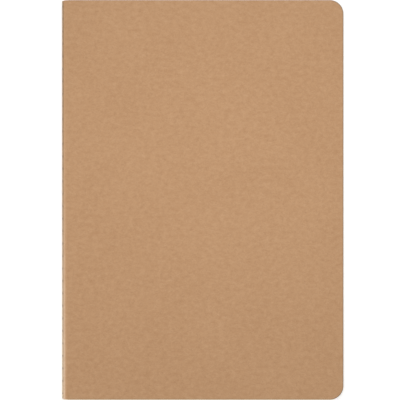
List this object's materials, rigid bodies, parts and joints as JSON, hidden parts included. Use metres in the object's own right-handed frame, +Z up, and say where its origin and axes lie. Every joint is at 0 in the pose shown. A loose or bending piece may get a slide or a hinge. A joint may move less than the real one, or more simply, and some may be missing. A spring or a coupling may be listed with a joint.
{
  "type": "pocket notebook",
  "caption": "Thin pocket notebook with a plain brown kraft card cover, rounded fore-edge corners and a sewn spine; its cover and leaves turn about the fold.",
  "frame": {"origin": "middle of the underside of the closed notebook's bounding box, outer thread included", "axes": "closed and lying on its back cover: +X from the spine to the fore edge, +Y from tail to head, +Z up through the stack to the front cover"},
  "size_m": [0.1044, 0.148, 0.0034],
  "materials": {
    "kraft_cover": "matte",
    "ivory_paper": "matte",
    "beige_thread": "matte"
  },
  "bodies": {
    "root": {"cover_back_panel": "kraft_cover", "cover_spine": "kraft_cover", "sheet_01_fold": "ivory_paper", "sheet_02_fold": "ivory_paper", "sheet_03_fold": "ivory_paper", "sheet_04_fold": "ivory_paper", "sheet_05_fold": "ivory_paper", "sheet_06_fold": "ivory_paper", "sheet_07_fold": "ivory_paper", "sheet_08_fold": "ivory_paper", "sheet_09_fold": "ivory_paper", "sheet_10_fold": "ivory_paper", "sheet_11_fold": "ivory_paper", "sheet_12_fold": "ivory_paper", "outer_thread": "beige_thread", "inner_thread": "beige_thread"},
    "sheet_01_back_leaf": {"sheet_01_back_leaf": "ivory_paper"},
    "sheet_02_back_leaf": {"sheet_02_back_leaf": "ivory_paper"},
    "sheet_03_back_leaf": {"sheet_03_back_leaf": "ivory_paper"},
    "sheet_04_back_leaf": {"sheet_04_back_leaf": "ivory_paper"},
    "sheet_05_back_leaf": {"sheet_05_back_leaf": "ivory_paper"},
    "sheet_06_back_leaf": {"sheet_06_back_leaf": "ivory_paper"},
    "sheet_07_back_leaf": {"sheet_07_back_leaf": "ivory_paper"},
    "sheet_08_back_leaf": {"sheet_08_back_leaf": "ivory_paper"},
    "sheet_09_back_leaf": {"sheet_09_back_leaf": "ivory_paper"},
    "sheet_10_back_leaf": {"sheet_10_back_leaf": "ivory_paper"},
    "sheet_11_back_leaf": {"sheet_11_back_leaf": "ivory_paper"},
    "sheet_12_back_leaf": {"sheet_12_back_leaf": "ivory_paper"},
    "sheet_12_front_leaf": {"sheet_12_front_leaf": "ivory_paper"},
    "sheet_11_front_leaf": {"sheet_11_front_leaf": "ivory_paper"},
    "sheet_10_front_leaf": {"sheet_10_front_leaf": "ivory_paper"},
    "sheet_09_front_leaf": {"sheet_09_front_leaf": "ivory_paper"},
    "sheet_08_front_leaf": {"sheet_08_front_leaf": "ivory_paper"},
    "sheet_07_front_leaf": {"sheet_07_front_leaf": "ivory_paper"},
    "sheet_06_front_leaf": {"sheet_06_front_leaf": "ivory_paper"},
    "sheet_05_front_leaf": {"sheet_05_front_leaf": "ivory_paper"},
    "sheet_04_front_leaf": {"sheet_04_front_leaf": "ivory_paper"},
    "sheet_03_front_leaf": {"sheet_03_front_leaf": "ivory_paper"},
    "sheet_02_front_leaf": {"sheet_02_front_leaf": "ivory_paper"},
    "sheet_01_front_leaf": {"sheet_01_front_leaf": "ivory_paper"},
    "cover_front_panel": {"cover_front_panel": "kraft_cover"}
  },
  "joints": [
    {"name": "sheet_01_back_leaf_turn", "type": "hinge", "parent": "root", "child": "sheet_01_back_leaf", "pos_m": [-0.05, 0, 0.00169], "axis": [0, -1, 0], "range_deg": [0, 180]},
    {"name": "sheet_02_back_leaf_turn", "type": "hinge", "parent": "sheet_01_back_leaf", "child": "sheet_02_back_leaf", "pos_m": [-0.05, 0, 0.00169], "axis": [0, -1, 0], "range_deg": [0, 180]},
    {"name": "sheet_03_back_leaf_turn", "type": "hinge", "parent": "sheet_02_back_leaf", "child": "sheet_03_back_leaf", "pos_m": [-0.05, 0, 0.00169], "axis": [0, -1, 0], "range_deg": [0, 180]},
    {"name": "sheet_04_back_leaf_turn", "type": "hinge", "parent": "sheet_03_back_leaf", "child": "sheet_04_back_leaf", "pos_m": [-0.05, 0, 0.00169], "axis": [0, -1, 0], "range_deg": [0, 180]},
    {"name": "sheet_05_back_leaf_turn", "type": "hinge", "parent": "sheet_04_back_leaf", "child": "sheet_05_back_leaf", "pos_m": [-0.05, 0, 0.00169], "axis": [0, -1, 0], "range_deg": [0, 180]},
    {"name": "sheet_06_back_leaf_turn", "type": "hinge", "parent": "sheet_05_back_leaf", "child": "sheet_06_back_leaf", "pos_m": [-0.05, 0, 0.00169], "axis": [0, -1, 0], "range_deg": [0, 180]},
    {"name": "sheet_07_back_leaf_turn", "type": "hinge", "parent": "sheet_06_back_leaf", "child": "sheet_07_back_leaf", "pos_m": [-0.05, 0, 0.00169], "axis": [0, -1, 0], "range_deg": [0, 180]},
    {"name": "sheet_08_back_leaf_turn", "type": "hinge", "parent": "sheet_07_back_leaf", "child": "sheet_08_back_leaf", "pos_m": [-0.05, 0, 0.00169], "axis": [0, -1, 0], "range_deg": [0, 180]},
    {"name": "sheet_09_back_leaf_turn", "type": "hinge", "parent": "sheet_08_back_leaf", "child": "sheet_09_back_leaf", "pos_m": [-0.05, 0, 0.00169], "axis": [0, -1, 0], "range_deg": [0, 180]},
    {"name": "sheet_10_back_leaf_turn", "type": "hinge", "parent": "sheet_09_back_leaf", "child": "sheet_10_back_leaf", "pos_m": [-0.05, 0, 0.00169], "axis": [0, -1, 0], "range_deg": [0, 180]},
    {"name": "sheet_11_back_leaf_turn", "type": "hinge", "parent": "sheet_10_back_leaf", "child": "sheet_11_back_leaf", "pos_m": [-0.05, 0, 0.00169], "axis": [0, -1, 0], "range_deg": [0, 180]},
    {"name": "sheet_12_back_leaf_turn", "type": "hinge", "parent": "sheet_11_back_leaf", "child": "sheet_12_back_leaf", "pos_m": [-0.05, 0, 0.00169], "axis": [0, -1, 0], "range_deg": [0, 180]},
    {"name": "sheet_12_front_leaf_turn", "type": "hinge", "parent": "sheet_12_back_leaf", "child": "sheet_12_front_leaf", "pos_m": [-0.05, 0, 0.00169], "axis": [0, -1, 0], "range_deg": [0, 180]},
    {"name": "sheet_11_front_leaf_turn", "type": "hinge", "parent": "sheet_12_front_leaf", "child": "sheet_11_front_leaf", "pos_m": [-0.05, 0, 0.00169], "axis": [0, -1, 0], "range_deg": [0, 180]},
    {"name": "sheet_10_front_leaf_turn", "type": "hinge", "parent": "sheet_11_front_leaf", "child": "sheet_10_front_leaf", "pos_m": [-0.05, 0, 0.00169], "axis": [0, -1, 0], "range_deg": [0, 180]},
    {"name": "sheet_09_front_leaf_turn", "type": "hinge", "parent": "sheet_10_front_leaf", "child": "sheet_09_front_leaf", "pos_m": [-0.05, 0, 0.00169], "axis": [0, -1, 0], "range_deg": [0, 180]},
    {"name": "sheet_08_front_leaf_turn", "type": "hinge", "parent": "sheet_09_front_leaf", "child": "sheet_08_front_leaf", "pos_m": [-0.05, 0, 0.00169], "axis": [0, -1, 0], "range_deg": [0, 180]},
    {"name": "sheet_07_front_leaf_turn", "type": "hinge", "parent": "sheet_08_front_leaf", "child": "sheet_07_front_leaf", "pos_m": [-0.05, 0, 0.00169], "axis": [0, -1, 0], "range_deg": [0, 180]},
    {"name": "sheet_06_front_leaf_turn", "type": "hinge", "parent": "sheet_07_front_leaf", "child": "sheet_06_front_leaf", "pos_m": [-0.05, 0, 0.00169], "axis": [0, -1, 0], "range_deg": [0, 180]},
    {"name": "sheet_05_front_leaf_turn", "type": "hinge", "parent": "sheet_06_front_leaf", "child": "sheet_05_front_leaf", "pos_m": [-0.05, 0, 0.00169], "axis": [0, -1, 0], "range_deg": [0, 180]},
    {"name": "sheet_04_front_leaf_turn", "type": "hinge", "parent": "sheet_05_front_leaf", "child": "sheet_04_front_leaf", "pos_m": [-0.05, 0, 0.00169], "axis": [0, -1, 0], "range_deg": [0, 180]},
    {"name": "sheet_03_front_leaf_turn", "type": "hinge", "parent": "sheet_04_front_leaf", "child": "sheet_03_front_leaf", "pos_m": [-0.05, 0, 0.00169], "axis": [0, -1, 0], "range_deg": [0, 180]},
    {"name": "sheet_02_front_leaf_turn", "type": "hinge", "parent": "sheet_03_front_leaf", "child": "sheet_02_front_leaf", "pos_m": [-0.05, 0, 0.00169], "axis": [0, -1, 0], "range_deg": [0, 180]},
    {"name": "sheet_01_front_leaf_turn", "type": "hinge", "parent": "sheet_02_front_leaf", "child": "sheet_01_front_leaf", "pos_m": [-0.05, 0, 0.00169], "axis": [0, -1, 0], "range_deg": [0, 180]},
    {"name": "cover_front_turn", "type": "hinge", "parent": "sheet_01_front_leaf", "child": "cover_front_panel", "pos_m": [-0.05, 0, 0.00169], "axis": [0, -1, 0], "range_deg": [0, 180]}
  ]
}
